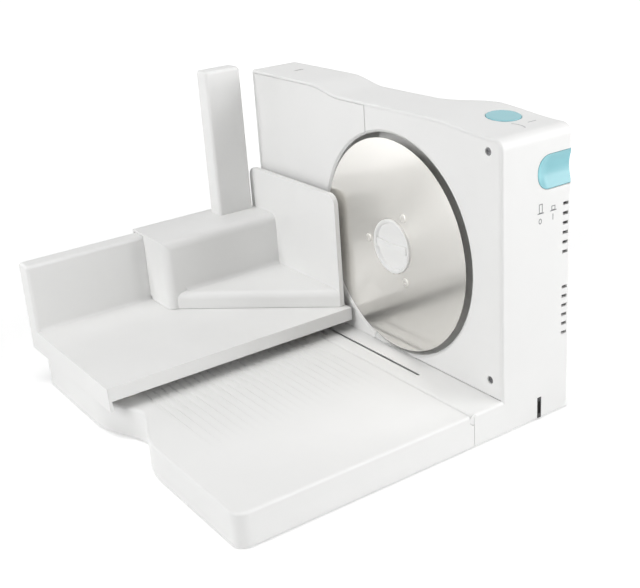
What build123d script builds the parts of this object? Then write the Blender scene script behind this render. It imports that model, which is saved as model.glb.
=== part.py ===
from build123d import *
import math
import os

# Food slicer with a folding base, a sliding carriage and a food pusher. Sizes are in millimetres.
# X runs along the blade face, Y runs back from it and Z is up.
# While modelling, X = 0 is the blade axis, Y = 0 the blade face and Z = 0 the table top.
# The finished pieces are moved so that the origin is the middle of the whole footprint.

# Walls and clearances
wall = 2.5
fit_gap = 0.3
seam_gap = 0.6
running_gap = 0.05
end_play = 1.0
rubber_height = 1.5

# Blade and its drive
blade_radius = 85.0
blade_thickness = 1.5
blade_proud = 1.7
blade_edge = 4.0
blade_edge_thickness = 0.2
blade_height = 116.0
well_gap = 3.8
well_depth = 13.0
rim_bevel = 2.0
rim_depth = 1.5
hub_radius = 40.0
hub_thickness = 4.0
hub_boss_radius = 10.0
knob_radius = 21.7
knob_thickness = 2.9
knob_dish = 1.6
knob_rim = 3.0
knob_grip = 5.0
knob_stem_radius = 2.5
knob_stem_length = 6.0
rivet_circle = 30.0
rivet_count = 3
rivet_head_radius = 3.2
rivet_head_height = 0.6
rivet_shank_radius = 1.8
rivet_dimple_radius = 1.0
rivet_dimple_depth = 0.4
spindle_radius = 5.0
bush_wall = 3.0
rear_bush_wall = 2.0
boss_wall = 3.0
front_bush_length = 14.0
spindle_end_wall = 1.7
wheel_module = 1.25
wheel_teeth = 40
wheel_width = 6.0
wheel_tooth = 1.8
wheel_hub_radius = 9.0
worm_pitch_radius = 6.5
worm_root_radius = 4.9
worm_tip_radius = 7.3
worm_thread = 1.3
worm_turns = 5
pressure_angle = 20.0

# Motor, which lies along X below the blade axis
motor_front_room = 1.5
motor_back_room = 5.5
motor_setback = 10.0
shaft_radius = 4.0
stator_front = 41.0
stator_length = 38.0
stator_ring = 3.0
pole_depth = 4.0
pole_half_angle = 50.0
coil_half_angle = 36.0
coil_overhang = 5.0
armature_gap = 0.5
bracket_plate = 2.5
bracket_width = 20.0
front_leg = 7.5
rear_leg = 18.0
bracket_boss_radius = 9.0
bracket_boss_length = 5.0
motor_screw_inset = 4.5
motor_screw_radius = 1.75
commutator_radius = 9.0
commutator_length = 8.0
brush_width = 7.0
brush_length = 9.0
fan_inset = 1.0
fan_hub_radius = 7.0
fan_disc = 1.5
fan_depth = 7.5
fan_blades = 8
fan_blade_thickness = 1.5
pilot_boss_length = 10.0
pilot_bush_length = 8.0
cradle_width = 2.5
cradle_setback = 7.0

# Housing
housing_left = 192.0
housing_right = 121.0
motor_depth = 67.0
bulge_start = 0.0
bulge_end = 55.0
top_right = 220.0
slope_rise = 4.5
dip_rise = 6.0
dip_start = -105.0
dip_end = -60.0
slope_start = 45.0
corner_radius = 8.0
back_radius = 4.0
front_edge_radius = 1.5
ledge_edge_radius = 2.5
cover_thickness = 3.0
seam_x = -30.0
chute_inset = 20.0
chute_bottom = 30.0
chute_top = 118.0
ledge_depth = 28.0
ledge_height = 27.0
slot_y = 16.6
slot_width = 2.4
slot_lip = 1.0
slot_right = 46.0
slot_inset = 7.0
cover_screw_inset = 13.5
cover_screw_rise = 13.0
cover_screw_drop = 10.0
cover_screw_head = 2.6
cover_screw_recess = 2.0
screw_shank = 1.75
screw_boss = 4.5
cover_screw_length = 14.0
screw_slot_length = 4.2
screw_slot_width = 0.6
bottom_screw_inset = 6.0
bottom_screw_front = -7.0
bottom_screw_left_inset = 8.0
bottom_screw_right_inset = 15.0
bottom_screw_length = 15.0
vent_height = 2.4
vent_pitch = 7.2
vent_count = 6
vent_length = 5.2
vent_back_inset = 4.2
vent_low = 64.0
vent_high = 127.2
latch_inset = 37.0
latch_y = 24.5
latch_length = 9.0
latch_width = 3.0
notch_y = 36.0
notch_width = 4.0
notch_height = 18.5
gland_depth = 9.0
gland_hole_width = 1.8
gland_hole_height = 10.0
foot_radius = 7.0
foot_peg_radius = 2.5
foot_taper = 0.8
foot_left_inset = 16.0
foot_right_inset = 21.0
foot_y_front = -12.0
foot_back_inset = 10.0

# Switches
button_y = 41.0
button_radius = 12.6
button_proud = 0.6
button_depth = 10.0
button_gap = 0.4
button_travel = 3.0
button_stem_radius = 3.0
scoop_front = 33.0
scoop_drop = 18.4
scoop_height = 24.4
scoop_straight = 2.4
scoop_depth = 12.0
scoop_hollow = 4.0
scoop_hollow_radius = 22.0
scoop_stem_y = 50.0
scoop_stem_drop = 3.4
microswitch_length = 20.0
microswitch_width = 6.0
microswitch_height = 10.0
plunger_length = 3.0
plunger_width = 2.0
plunger_height = 0.2
shelf_width = 26.0
shelf_drop = 28.75
spring_wire = 0.4
spring_radius = 4.6
spring_turns = 5
spring_play = 0.1
terminal_x = 85.0
terminal_y = 20.0
terminal_length = 26.0
terminal_width = 14.0
terminal_height = 12.0

# Gauge plate and its adjuster
gauge_travel = 15.0
rod_radius = 3.0
rod_wall = 3.0
rod_seat = 3.5
rod_end_wall = 1.5
rod_drop = 30.5
rod_left_inset = 14.0
rod_right_inset = 18.0
rod_lower_inset = 11.0
rod_rise = 18.0
dial_x = -110.0
dial_drop = 29.5
dial_radius = 22.0
dial_depth = 13.0
dial_skirt = 4.0
dial_grip = 8.0
dial_screw_radius = 4.0
dial_boss_radius = 8.0
nut_radius = 6.5
nut_length = 12.0
nut_play = 0.1
nut_boss_wall = 2.5

# Folding base
base_left = 198.0
base_length = 195.7
base_corner = 9.0
base_edge_radius = 2.2
notch_left = -100.0
notch_right = 14.0
notch_depth = 16.5
groove_pitch = 7.0
groove_width = 3.0
groove_depth = 1.3
groove_end = 40.0
groove_margin = 14.0
barrel_radius = 4.0
pin_radius = 1.6
knuckle_length = 40.0
knuckle_inset = 16.0
knuckle_pitch = 72.0
pin_end_wall = 3.0
rib_height = 14.0
rib_width = 2.0
base_foot_radius = 6.0
base_foot_inset = 13.0
base_foot_peg = 2.0

# Carriage
carriage_front = -57.0
carriage_near = 4.0
carriage_length = 222.5
table_top = 47.5
table_edge = 11.0
skirt_height = 19.5
fence_front = -197.0
fence_thickness = 17.5
fence_top = 105.5
fence_radius = 3.0
rail_width = 4.0
rail_front_y = -41.0
rail_back_y = -201.0
rail_inset = 14.0
glide_wall = 1.6
glide_height = 5.7
glide_floor = 2.4
shoe_back = -172.0
shoe_length = 60.0
shoe_head_width = 10.0
shoe_head_height = 7.0
shoe_neck_drop = 4.0
socket_wall = 2.5

# Pusher
saddle_front = -158.0
saddle_far = 121.0
saddle_roof = 2.2
saddle_flange_bottom = 60.0
saddle_edge = 7.0
saddle_back_edge = 2.0
pusher_floor = 14.0
pusher_floor_edge = 6.0
pusher_fillet = 4.0
plate_left = -196.0
plate_right = -64.0
plate_near = 6.0
plate_thickness = 4.0
plate_top = 145.0
plate_corner = 9.0
post_left = -208.0
post_width = 18.0
post_near = 13.0
post_depth = 34.5
post_top = 236.0
post_radius = 3.0

# Places that follow from the sizes above
far = 400.0
blade_front = -blade_proud
blade_back = blade_front + blade_thickness
hub_back = blade_back + hub_thickness
well_radius = blade_radius + well_gap
well_back = well_depth + wall
front_bush_radius = spindle_radius + bush_wall
front_boss_radius = front_bush_radius + boss_wall
front_boss_back = well_depth + front_bush_length
rear_bush_radius = spindle_radius + rear_bush_wall
motor_room = motor_depth - wall - well_back
stator_radius = (motor_room - motor_front_room - motor_back_room) / 2
motor_y = well_back + motor_front_room + stator_radius
slim_depth = motor_y + motor_setback
motor_screw_offset = stator_radius - motor_screw_inset
fan_radius = stator_radius - fan_inset
wheel_radius = wheel_module * wheel_teeth / 2
wheel_front = motor_y - wheel_width / 2
wheel_back = motor_y + wheel_width / 2
rear_bush_front = wheel_back + end_play
rear_bush_back = slim_depth - spindle_end_wall
motor_z = blade_height - wheel_radius - worm_pitch_radius
worm_pitch = math.pi * wheel_module
worm_length = worm_turns * worm_pitch
partition_left = seam_x + seam_gap / 2
partition_right = partition_left + wall
stator_bore = stator_radius - stator_ring - pole_depth
stator_back = stator_front + stator_length
front_plate_back = stator_front - front_leg
front_plate_front = front_plate_back - bracket_plate
rear_plate_front = stator_back + rear_leg
rear_plate_back = rear_plate_front + bracket_plate
front_bush_x = front_plate_front - bracket_boss_length
rear_bush_x = rear_plate_back + bracket_boss_length
bush_radius = shaft_radius + bush_wall
top_middle = top_right + slope_rise
top_left = top_middle + dip_rise
button_x = (slope_start + housing_right - corner_radius) / 2
button_top = (top_middle + top_right) / 2
button_under = button_top - button_depth
shelf_top = button_top - shelf_drop
safety_switch_top = shelf_top + microswitch_height + plunger_height
scoop_high = top_right - scoop_drop
scoop_low = scoop_high - scoop_height
scoop_corner = (scoop_height - scoop_straight) / 2
scoop_stem_z = (scoop_low + scoop_high) / 2 - scoop_stem_drop
start_switch_end = housing_right - scoop_depth - button_travel * 3
start_switch_back = scoop_stem_y + microswitch_width / 2
cover_screw_x = housing_right - cover_screw_inset
cover_screw_low = ledge_height + cover_screw_rise
cover_screw_high = top_right - cover_screw_drop
rod_upper_z = top_left - rod_drop
rod_lower_z = ledge_height + rod_rise
dial_z = top_left - dial_drop
fan_x = rear_bush_x + end_play
base_z = rubber_height
cover_top = base_z + wall
ledge_under = ledge_height - wall
barrel_z = ledge_height - barrel_radius
barrel_y = -ledge_depth
foot_face = barrel_y + fit_gap / 2
tray_face = barrel_y - fit_gap / 2
base_far = barrel_y - base_length
carriage_far = -carriage_near - carriage_length
skin_under = table_top - wall
table_under = table_top - table_edge
skirt_bottom = table_top - skirt_height
shoe_neck_top = skin_under - shoe_neck_drop
rail_bottom = ledge_height + fit_gap + glide_floor
fence_back = fence_front - fence_thickness
saddle_back = fence_back - fit_gap - wall
saddle_bottom = table_top + fit_gap
saddle_top = fence_top + fit_gap + saddle_roof
plate_far = -plate_near - plate_thickness
boss_face = slim_depth - wall - rod_seat
tube_end = boss_face - gauge_travel - fit_gap
rod_front = cover_thickness + gauge_travel + end_play
rod_back = slim_depth - rod_end_wall
rods = [(-housing_left + rod_left_inset, rod_upper_z), (seam_x - rod_right_inset, rod_upper_z),
        (-housing_left + rod_lower_inset, rod_lower_z)]
bottom_screw_spots = [
    (-housing_left + wall + bottom_screw_inset, bottom_screw_front),
    (-housing_left + wall + bottom_screw_inset, slim_depth - bottom_screw_left_inset),
    (housing_right - bottom_screw_inset, bottom_screw_front),
    (housing_right - bottom_screw_inset, motor_depth - bottom_screw_right_inset),
]
foot_columns = (-housing_left + foot_left_inset, housing_right - foot_right_inset)
foot_rows = (foot_y_front, slim_depth - foot_back_inset)
housing_foot_spots = [(x, y) for x in foot_columns for y in foot_rows]
base_foot_spots = [(-base_left + base_foot_inset, base_far + base_foot_inset + base_corner),
                   (housing_right - base_foot_inset, base_far + base_foot_inset + base_corner)]
cover_screw_spots = [(cover_screw_x, cover_screw_low), (cover_screw_x, cover_screw_high)]
middle_x = (saddle_back + housing_right) / 2
middle_y = (carriage_far + motor_depth) / 2


# Building blocks
def around(middle, size):
    return (middle - size / 2, middle + size / 2)


def block(x, y, z):
    size = [high - low for low, high in (x, y, z)]
    centre = [(high + low) / 2 for low, high in (x, y, z)]
    return Pos(*centre) * Box(*size)


def rod_x(radius, x, y, z):
    turned = Rot(0, 90, 0) * Cylinder(radius, x[1] - x[0])
    return Pos((x[0] + x[1]) / 2, y, z) * turned


def rod_y(radius, x, y, z):
    turned = Rot(90, 0, 0) * Cylinder(radius, y[1] - y[0])
    return Pos(x, (y[0] + y[1]) / 2, z) * turned


def rod_z(radius, x, y, z):
    return Pos(x, y, (z[0] + z[1]) / 2) * Cylinder(radius, z[1] - z[0])


def upright(points, y):
    outline = Polyline([(x, y[0], z) for x, z in points], close=True)
    return extrude(make_face(outline), amount=y[1] - y[0], dir=(0, 1, 0))


def level(points, z):
    outline = Polyline([(x, y, z[0]) for x, y in points], close=True)
    return extrude(make_face(outline), amount=z[1] - z[0], dir=(0, 0, 1))


def quarter(start, middle, end):
    return ThreePointArc(start, middle, end)


# Housing outlines: the wavy top seen from the front, and the motor bulge seen from above
def front_solid(inset, y, bottom):
    left = -housing_left + inset
    right = housing_right - inset
    high = top_left - inset
    middle = top_middle - inset
    low = top_right - inset
    turn = corner_radius - inset
    bend = turn * (1 - math.sqrt(0.5))
    along = [(1, 0, 0), (1, 0, 0)]
    edges = [
        Line((left, 0, bottom), (left, 0, high)),
        Line((left, 0, high), (dip_start, 0, high)),
        Spline((dip_start, 0, high), (dip_end, 0, middle), tangents=along),
        Line((dip_end, 0, middle), (slope_start, 0, middle)),
        Spline((slope_start, 0, middle), (right - turn, 0, low), tangents=along),
        quarter((right - turn, 0, low), (right - bend, 0, low - bend), (right, 0, low - turn)),
        Line((right, 0, low - turn), (right, 0, bottom)),
        Line((right, 0, bottom), (left, 0, bottom)),
    ]
    return Pos(0, y[0], 0) * extrude(make_face(edges), amount=y[1] - y[0], dir=(0, 1, 0))


def plan_solid(inset, corner, front, z):
    left = -housing_left + inset
    right = housing_right - inset
    slim = slim_depth - inset
    deep = motor_depth - inset
    along = [(-1, 0, 0), (-1, 0, 0)]
    edges = [
        Line((left, front, 0), (right, front, 0)),
        Line((right, front, 0), (right, deep, 0)),
        Line((right, deep, 0), (bulge_end, deep, 0)),
        Spline((bulge_end, deep, 0), (bulge_start, slim, 0), tangents=along),
        Line((bulge_start, slim, 0), (left, slim, 0)),
        Line((left, slim, 0), (left, front, 0)),
    ]
    solid = Pos(0, 0, z[0]) * extrude(make_face(edges), amount=z[1] - z[0], dir=(0, 0, 1))
    if corner > 0:
        sharp = [e for e in solid.edges().filter_by(Axis.Z)
                 if e.center().X > right - 1 and e.center().Y > deep - 1]
        solid = fillet(sharp, corner)
    return solid


def is_front_edge(edge):
    spot = edge.center()
    return abs(spot.Y) < 0.01 and spot.Z > base_z + wall and spot.X > wall - housing_left


def is_back_edge(edge):
    spot = edge.center()
    seam = edge.bounding_box().size.Z > top_right / 2 and spot.X < housing_right - wall
    return spot.Y > slim_depth - 0.01 and spot.Z > base_z + wall and not seam


def housing_outer():
    body = front_solid(0, (0, motor_depth), base_z) & plan_solid(0, 0, 0, (base_z, far))
    body = fillet([e for e in body.edges() if is_back_edge(e)], back_radius)
    return fillet([e for e in body.edges() if is_front_edge(e)], front_edge_radius)


def housing_inner(inset, front, bottom):
    seen_from_above = plan_solid(inset, back_radius - inset, front, (bottom, far))
    return front_solid(inset, (front, motor_depth), bottom) & seen_from_above


def scoop_outline(gap, x):
    low = scoop_low - gap
    high = scoop_high + gap
    front = scoop_front - gap
    turn = scoop_corner + gap
    bend = turn * (1 - math.sqrt(0.5))
    back = motor_depth + 1
    edges = [
        Line((0, back, low), (0, front + turn, low)),
        quarter((0, front + turn, low), (0, front + bend, low + bend), (0, front, low + turn)),
        Line((0, front, low + turn), (0, front, high - turn)),
        quarter((0, front, high - turn), (0, front + bend, high - bend), (0, front + turn, high)),
        Line((0, front + turn, high), (0, back, high)),
        Line((0, back, high), (0, back, low)),
    ]
    return Pos(x[0], 0, 0) * extrude(make_face(edges), amount=x[1] - x[0], dir=(1, 0, 0))


# Barrel hinge between the ledge and the folding base
knuckle_left = -housing_left + knuckle_inset
base_knuckles = [(x, x + knuckle_length) for x in (knuckle_left, knuckle_left + knuckle_pitch)]
ledge_knuckles = [
    (-housing_left, base_knuckles[0][0]),
    (base_knuckles[0][1], base_knuckles[1][0]),
    (base_knuckles[1][1], housing_right),
]


def knuckle(span):
    return rod_x(barrel_radius, (span[0] + fit_gap, span[1] - fit_gap), barrel_y, barrel_z)


def knuckle_room(x):
    reach = barrel_radius + fit_gap
    return rod_x(reach, x, barrel_y, barrel_z) + block(
        x, (barrel_y - reach, barrel_y + reach), (barrel_z, ledge_height + 1))


def open_ended(span):
    left = -far if span[0] == -housing_left else span[0]
    right = far if span[1] == housing_right else span[1]
    return (left, right)


def pin_bore():
    return rod_x(pin_radius + running_gap, (-far, housing_right - pin_end_wall), barrel_y, barrel_z)


def make_motor_housing():
    outer = housing_outer()
    inner = housing_inner(wall, -1, -1)
    divider = block((partition_left, partition_right), (well_back + fit_gap, far), (cover_top, far))
    chute_floor = block((-far, partition_right), (0, far), (ledge_under, ledge_height))
    shell = outer - (inner - divider - chute_floor)
    ledge = block((-housing_left, housing_right), (foot_face, front_edge_radius), (base_z, ledge_height))
    ledge = fillet(ledge.edges().filter_by(Axis.Y).group_by(Axis.Z)[-1], ledge_edge_radius)
    ledge -= block((partition_right, housing_right - wall), (0, far), (-1, far))
    shell += ledge
    shell -= block((-housing_left + wall, housing_right - wall), (foot_face + wall, 2 * front_edge_radius),
                   (-1, ledge_under))
    for span in ledge_knuckles:
        shell += knuckle(span)
    for span in base_knuckles:
        shell -= knuckle_room(span)
    shell -= pin_bore()
    slot_x = (-housing_left + slot_inset, slot_right)
    groove_width_below = shoe_head_width + 2 * fit_gap
    shell -= block(slot_x, around(-slot_y, slot_width), (ledge_under, ledge_height + 1))
    shell -= block(slot_x, around(-slot_y, groove_width_below), (ledge_under - 1, ledge_height - slot_lip))
    shell -= block((-housing_left + chute_inset, partition_left - wall), (slim_depth / 2, slim_depth + 1),
                   (chute_bottom, chute_top))
    shell += housing_bosses() & (housing_inner(0.5, 0, base_z) + block(
        (-housing_left + 1, housing_right - 1), (foot_face + 1, 1), (base_z, ledge_height - 1)))
    shell -= housing_holes()
    return shell


def housing_bosses():
    bosses = rod_y(rear_bush_radius + boss_wall, 0, (rear_bush_front, slim_depth), blade_height)
    bosses += rod_x(bush_radius + boss_wall, (partition_left, partition_right + pilot_boss_length),
                    motor_y, motor_z)
    for x, z in rods:
        bosses += rod_y(rod_radius + rod_wall, x, (boss_face, slim_depth), z)
    bosses += rod_y(dial_boss_radius, dial_x, (boss_face, slim_depth), dial_z)
    for x, z in cover_screw_spots:
        bosses += rod_y(screw_boss, x, (cover_thickness, motor_depth), z)
    for x, y in bottom_screw_spots:
        bosses += rod_z(screw_boss, x, y, (cover_top, ledge_height))
    stator_room = rod_x(stator_radius + fit_gap, (stator_front, stator_back), motor_y, motor_z)
    for x in (stator_front + cradle_setback, stator_back - cradle_setback - cradle_width):
        rib = block((x, x + cradle_width), (motor_y + stator_radius / 2, motor_depth),
                    (motor_z - stator_radius, motor_z + stator_radius))
        bosses += rib - stator_room
    bosses += block(around(button_x, shelf_width),
                    (button_y - microswitch_width / 2, motor_depth), (shelf_top - wall, shelf_top))
    bosses += block((start_switch_end - microswitch_length + wall, start_switch_end - wall),
                    (start_switch_back, motor_depth),
                    (scoop_stem_z - microswitch_height / 4, scoop_stem_z + microswitch_height / 4))
    return bosses


def housing_holes():
    holes = rod_y(rear_bush_radius, 0, (rear_bush_front - 1, rear_bush_back), blade_height)
    pilot_end = partition_right + pilot_boss_length
    holes += rod_x(bush_radius, (pilot_end - pilot_bush_length, pilot_end), motor_y, motor_z)
    for x, z in rods:
        holes += rod_y(rod_radius, x, (boss_face - 1, rod_back), z)
    holes += rod_y(dial_screw_radius + running_gap, dial_x, (boss_face - 1, slim_depth + 1), dial_z)
    for x, z in cover_screw_spots:
        holes += rod_y(screw_shank, x, (0, cover_screw_length), z)
    for x, y in bottom_screw_spots:
        holes += rod_z(screw_shank, x, y, (0, base_z + bottom_screw_length))
    for start in (vent_low, vent_high):
        for i in range(vent_count):
            z = start + i * vent_pitch
            holes += block((housing_right - wall - 1, housing_right + 1),
                           (motor_depth - vent_back_inset - vent_length, motor_depth - vent_back_inset),
                           around(z, vent_height))
    latch_x = -housing_left + latch_inset
    holes += block(around(latch_x, latch_width),
                   around(latch_y, latch_length), (top_left - wall - 1, far))
    holes += block((housing_right - wall - 1, housing_right + 1),
                   around(notch_y, notch_width), (-1, notch_height))
    holes += rod_z(button_radius + button_gap, button_x, button_y, (button_under, far))
    holes += scoop_outline(button_gap, (housing_right - scoop_depth - button_travel - button_gap,
                                        housing_right + 1))
    return holes


def front_piece(inset, x):
    plate = front_solid(inset, (0, cover_thickness), ledge_height + fit_gap)
    return plate & block(x, (-1, cover_thickness + 1), (0, far))


def well_rim():
    reach = rim_depth + 1
    cone = Rot(90, 0, 0) * Cone(well_radius, well_radius + rim_bevel * reach / rim_depth, reach)
    above_ledge = block((-far, far), (-far, far), (ledge_height + fit_gap, far))
    return (Pos(0, rim_depth - reach / 2, blade_height) * cone) & above_ledge


def make_face_cover():
    right_side = block((partition_left, far), (-far, far), (0, far))
    plate = front_piece(wall + running_gap, (partition_left, far))
    dish = rod_y(well_radius + wall, 0, (0, well_back), blade_height)
    cover = plate + (dish & right_side & block((-far, far), (0, far), (base_z + 2 * wall, far)))
    cover += rod_y(front_boss_radius, 0, (well_depth, front_boss_back), blade_height)
    cover -= rod_y(well_radius, 0, (-1, well_depth), blade_height)
    cover -= well_rim()
    cover -= rod_y(front_bush_radius, 0, (0, far), blade_height)
    for x, z in cover_screw_spots:
        cover -= rod_y(cover_screw_head + fit_gap, x, (-1, cover_screw_recess), z)
        cover -= rod_y(screw_shank, x, (-1, far), z)
    return cover


def make_cover_screws():
    screws = []
    for x, z in cover_screw_spots:
        head = rod_y(cover_screw_head, x, (cover_screw_recess / 2, cover_screw_recess), z)
        slot = block(around(x, screw_slot_length), (0, cover_screw_recess * 0.75),
                     around(z, screw_slot_width))
        screws.append(head + rod_y(screw_shank, x, (cover_screw_recess, cover_screw_length), z) - slot)
    return Compound(screws)


def make_bottom_cover():
    clear = wall + running_gap
    plate = plan_solid(clear, back_radius - clear, 0, (base_z, cover_top))
    plate += block((-housing_left + clear, housing_right - clear), (foot_face + clear, 0),
                   (base_z, cover_top))
    for x, y in bottom_screw_spots:
        plate -= rod_z(cover_screw_head + fit_gap, x, y, (0, base_z + wall / 2))
        plate -= rod_z(screw_shank, x, y, (0, far))
    for x, y in housing_foot_spots:
        plate -= rod_z(foot_peg_radius, x, y, (0, far))
    plate -= block((housing_right - wall - gland_depth, far),
                   around(notch_y, notch_width), (0, far))
    return plate


def make_bottom_screws():
    screws = []
    for x, y in bottom_screw_spots:
        head = rod_z(cover_screw_head, x, y, (base_z, base_z + wall / 2))
        screws.append(head + rod_z(screw_shank, x, y, (base_z + wall / 2, base_z + bottom_screw_length)))
    return Compound(screws)


def rubber_feet(spots, radius, peg, peg_top):
    feet = []
    for x, y in spots:
        pad = Pos(x, y, rubber_height / 2) * Cone(radius - foot_taper, radius, rubber_height)
        feet.append(pad + rod_z(peg, x, y, (rubber_height, peg_top)))
    return Compound(feet)


def make_cord_gland():
    x = (housing_right - gland_depth, housing_right)
    y = (notch_y - notch_width / 2 + running_gap, notch_y + notch_width / 2 - running_gap)
    gland = block(x, y, (base_z, notch_height - running_gap))
    hole_z = (base_z + notch_height) / 2
    return gland - block((0, far), around(notch_y, gland_hole_width),
                         around(hole_z, gland_hole_height))


def make_terminal_block():
    body = block((terminal_x, terminal_x + terminal_length), (terminal_y, terminal_y + terminal_width),
                 (cover_top, cover_top + terminal_height))
    poles = 3
    for i in range(poles):
        x = terminal_x + terminal_length * (i + 0.5) / poles
        body -= rod_z(terminal_width / 6, x, terminal_y + terminal_width / 2,
                      (cover_top + terminal_height / 2, far))
        body -= rod_y(terminal_width / 8, x, (0, far), cover_top + terminal_height / 4)
    return body


# Blade, lock and drive
def make_blade():
    hole = knob_radius + fit_gap
    profile = [(hole, blade_front), (blade_radius, blade_front),
               (blade_radius, blade_front + blade_edge_thickness),
               (blade_radius - blade_edge, blade_back), (hole, blade_back)]
    outline = Polyline([(r, y, blade_height) for r, y in profile], close=True)
    blade = revolve(make_face(outline), axis=Axis((0, 0, blade_height), (0, 1, 0)))
    return blade - rivet_holes()


def rivet_spots():
    turns = [math.pi + 2 * math.pi * i / rivet_count for i in range(rivet_count)]
    return [(rivet_circle * math.cos(a), blade_height + rivet_circle * math.sin(a)) for a in turns]


def rivet_holes():
    return Part() + [rod_y(rivet_shank_radius, x, (-far, far), z) for x, z in rivet_spots()]


def make_blade_rivets():
    rivets = []
    for x, z in rivet_spots():
        head = rod_y(rivet_head_radius, x, (blade_front - rivet_head_height, blade_front), z)
        head = fillet(head.edges().group_by(Axis.Y)[0], rivet_head_height / 2)
        dimple_bottom = blade_front - rivet_head_height + rivet_dimple_depth
        head -= rod_y(rivet_dimple_radius, x, (-far, dimple_bottom), z)
        rivets.append(head + rod_y(rivet_shank_radius, x, (blade_front, hub_back), z))
    return Compound(rivets)


def make_blade_hub():
    hub = rod_y(hub_radius, 0, (blade_back, hub_back), blade_height)
    hub += rod_y(hub_boss_radius, 0, (hub_back, well_depth - fit_gap), blade_height)
    hub -= rod_y(spindle_radius, 0, (-far, far), blade_height)
    return hub - rivet_holes()


def make_drive_spindle():
    spindle = rod_y(spindle_radius, 0, (blade_back, rear_bush_back - fit_gap), blade_height)
    return spindle - rod_y(knob_stem_radius + running_gap, 0,
                           (blade_front, blade_back + knob_stem_length + 1), blade_height)


def make_blade_lock_knob():
    back = blade_back - fit_gap
    front = back - knob_thickness
    knob = rod_y(knob_radius, 0, (front, back), blade_height)
    knob = fillet(knob.edges().group_by(Axis.Y)[0], knob_thickness / 3)
    dish = rod_y(knob_radius - knob_rim, 0, (front - 1, front + knob_dish), blade_height)
    reach = knob_radius - knob_rim
    slim = knob_grip / 2
    broad = knob_grip
    grip = upright([(-reach, blade_height - broad), (0, blade_height - slim), (reach, blade_height - broad),
                    (reach, blade_height + broad), (0, blade_height + slim), (-reach, blade_height + broad)],
                   (front - 2, far))
    knob -= dish - grip
    return knob + rod_y(knob_stem_radius, 0, (back, blade_back + knob_stem_length), blade_height)


def make_worm_wheel():
    lean = math.tan(math.radians(pressure_angle))
    tip = wheel_radius + wheel_module
    root = wheel_radius - 1.25 * wheel_module
    tip_half = (wheel_tooth / 2 - wheel_module * lean) / tip
    root_half = (wheel_tooth / 2 + 1.25 * wheel_module * lean) / root
    points = []
    for i in range(wheel_teeth):
        middle = -math.pi / 2 + (i + 0.5) * 2 * math.pi / wheel_teeth
        for radius, angle in ((root, -root_half), (tip, -tip_half), (tip, tip_half), (root, root_half)):
            turn = middle + angle
            points.append((radius * math.cos(turn), blade_height + radius * math.sin(turn)))
    wheel = upright(points, (wheel_front, wheel_back))
    wheel += rod_y(wheel_hub_radius, 0, (front_boss_back + fit_gap, wheel_back), blade_height)
    return wheel - rod_y(spindle_radius, 0, (-far, far), blade_height)


def bush_y(inner, outer, y):
    sleeve = rod_y(outer, 0, y, blade_height)
    return sleeve - rod_y(inner + running_gap, 0, (-far, far), blade_height)


def bush_x(x):
    return motor_ring(bush_radius, shaft_radius + running_gap, x)


# Motor
def motor_ring(outer, inner, x):
    return rod_x(outer, x, motor_y, motor_z) - rod_x(inner, (-far, far), motor_y, motor_z)


def wedge_y(half_angle, sign, x):
    reach = stator_radius * 3
    y = sign * reach * math.cos(math.radians(half_angle))
    z = reach * math.sin(math.radians(half_angle))
    outline = Polyline([(x[0], motor_y, motor_z), (x[0], motor_y + y, motor_z + z),
                        (x[0], motor_y + y, motor_z - z)], close=True)
    return extrude(make_face(outline), amount=x[1] - x[0], dir=(1, 0, 0))


def motor_screw_holes():
    holes = Part()
    for sign in (-1, 1):
        holes += rod_x(motor_screw_radius, (-far, far), motor_y, motor_z + sign * motor_screw_offset)
    return holes


def make_stator_core():
    x = (stator_front, stator_back)
    core = motor_ring(stator_radius, stator_radius - stator_ring, x)
    poles = motor_ring(stator_radius - stator_ring / 2, stator_bore, x)
    for sign in (-1, 1):
        poles -= wedge_y(90 - pole_half_angle, sign, x)
    return core + poles - motor_screw_holes()


def make_field_coils():
    x = (stator_front - coil_overhang, stator_back + coil_overhang)
    ring = motor_ring(stator_radius - stator_ring - fit_gap, stator_bore + armature_gap, x)
    return Compound([ring & wedge_y(coil_half_angle, sign, x) for sign in (-1, 1)])


def bracket_leg(x):
    leg = block(x, around(motor_y, bracket_width),
                (motor_z - stator_radius, motor_z + stator_radius))
    open_half = stator_radius - bracket_plate
    return leg - block((-far, far), (-far, far), (motor_z - open_half, motor_z + open_half))


def make_front_bracket():
    plate = block((front_plate_front, front_plate_back),
                  around(motor_y, bracket_width),
                  (motor_z - stator_radius, motor_z + stator_radius))
    plate += bracket_leg((front_plate_back, stator_front))
    plate += rod_x(bracket_boss_radius, (front_bush_x, front_plate_front), motor_y, motor_z)
    return plate - rod_x(bush_radius, (-far, far), motor_y, motor_z) - motor_screw_holes()


def make_rear_bracket():
    plate = rod_x(stator_radius, (rear_plate_front, rear_plate_back), motor_y, motor_z)
    plate += bracket_leg((stator_back, rear_plate_front))
    plate += rod_x(bracket_boss_radius, (rear_plate_back, rear_bush_x), motor_y, motor_z)
    return plate - rod_x(bush_radius, (-far, far), motor_y, motor_z) - motor_screw_holes()


def make_motor_screws():
    screws = []
    head = motor_screw_radius * 2
    for sign in (-1, 1):
        z = motor_z + sign * motor_screw_offset
        shank = rod_x(motor_screw_radius, (front_plate_front, rear_plate_back), motor_y, z)
        head_x = (front_plate_front - motor_screw_radius, front_plate_front)
        screws.append(shank + rod_x(head, head_x, motor_y, z))
    return Compound(screws)


def make_brush_holders():
    holders = []
    x = (rear_plate_front - brush_length, rear_plate_front)
    z = around(motor_z, brush_width)
    near = commutator_radius + fit_gap
    for sign in (-1, 1):
        ends = sorted((motor_y + sign * near, motor_y + sign * (stator_radius - 1)))
        holders.append(block(x, ends, z))
    return Compound(holders)


def shaft_piece(radius, x):
    return motor_ring(radius, shaft_radius, x)


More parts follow.
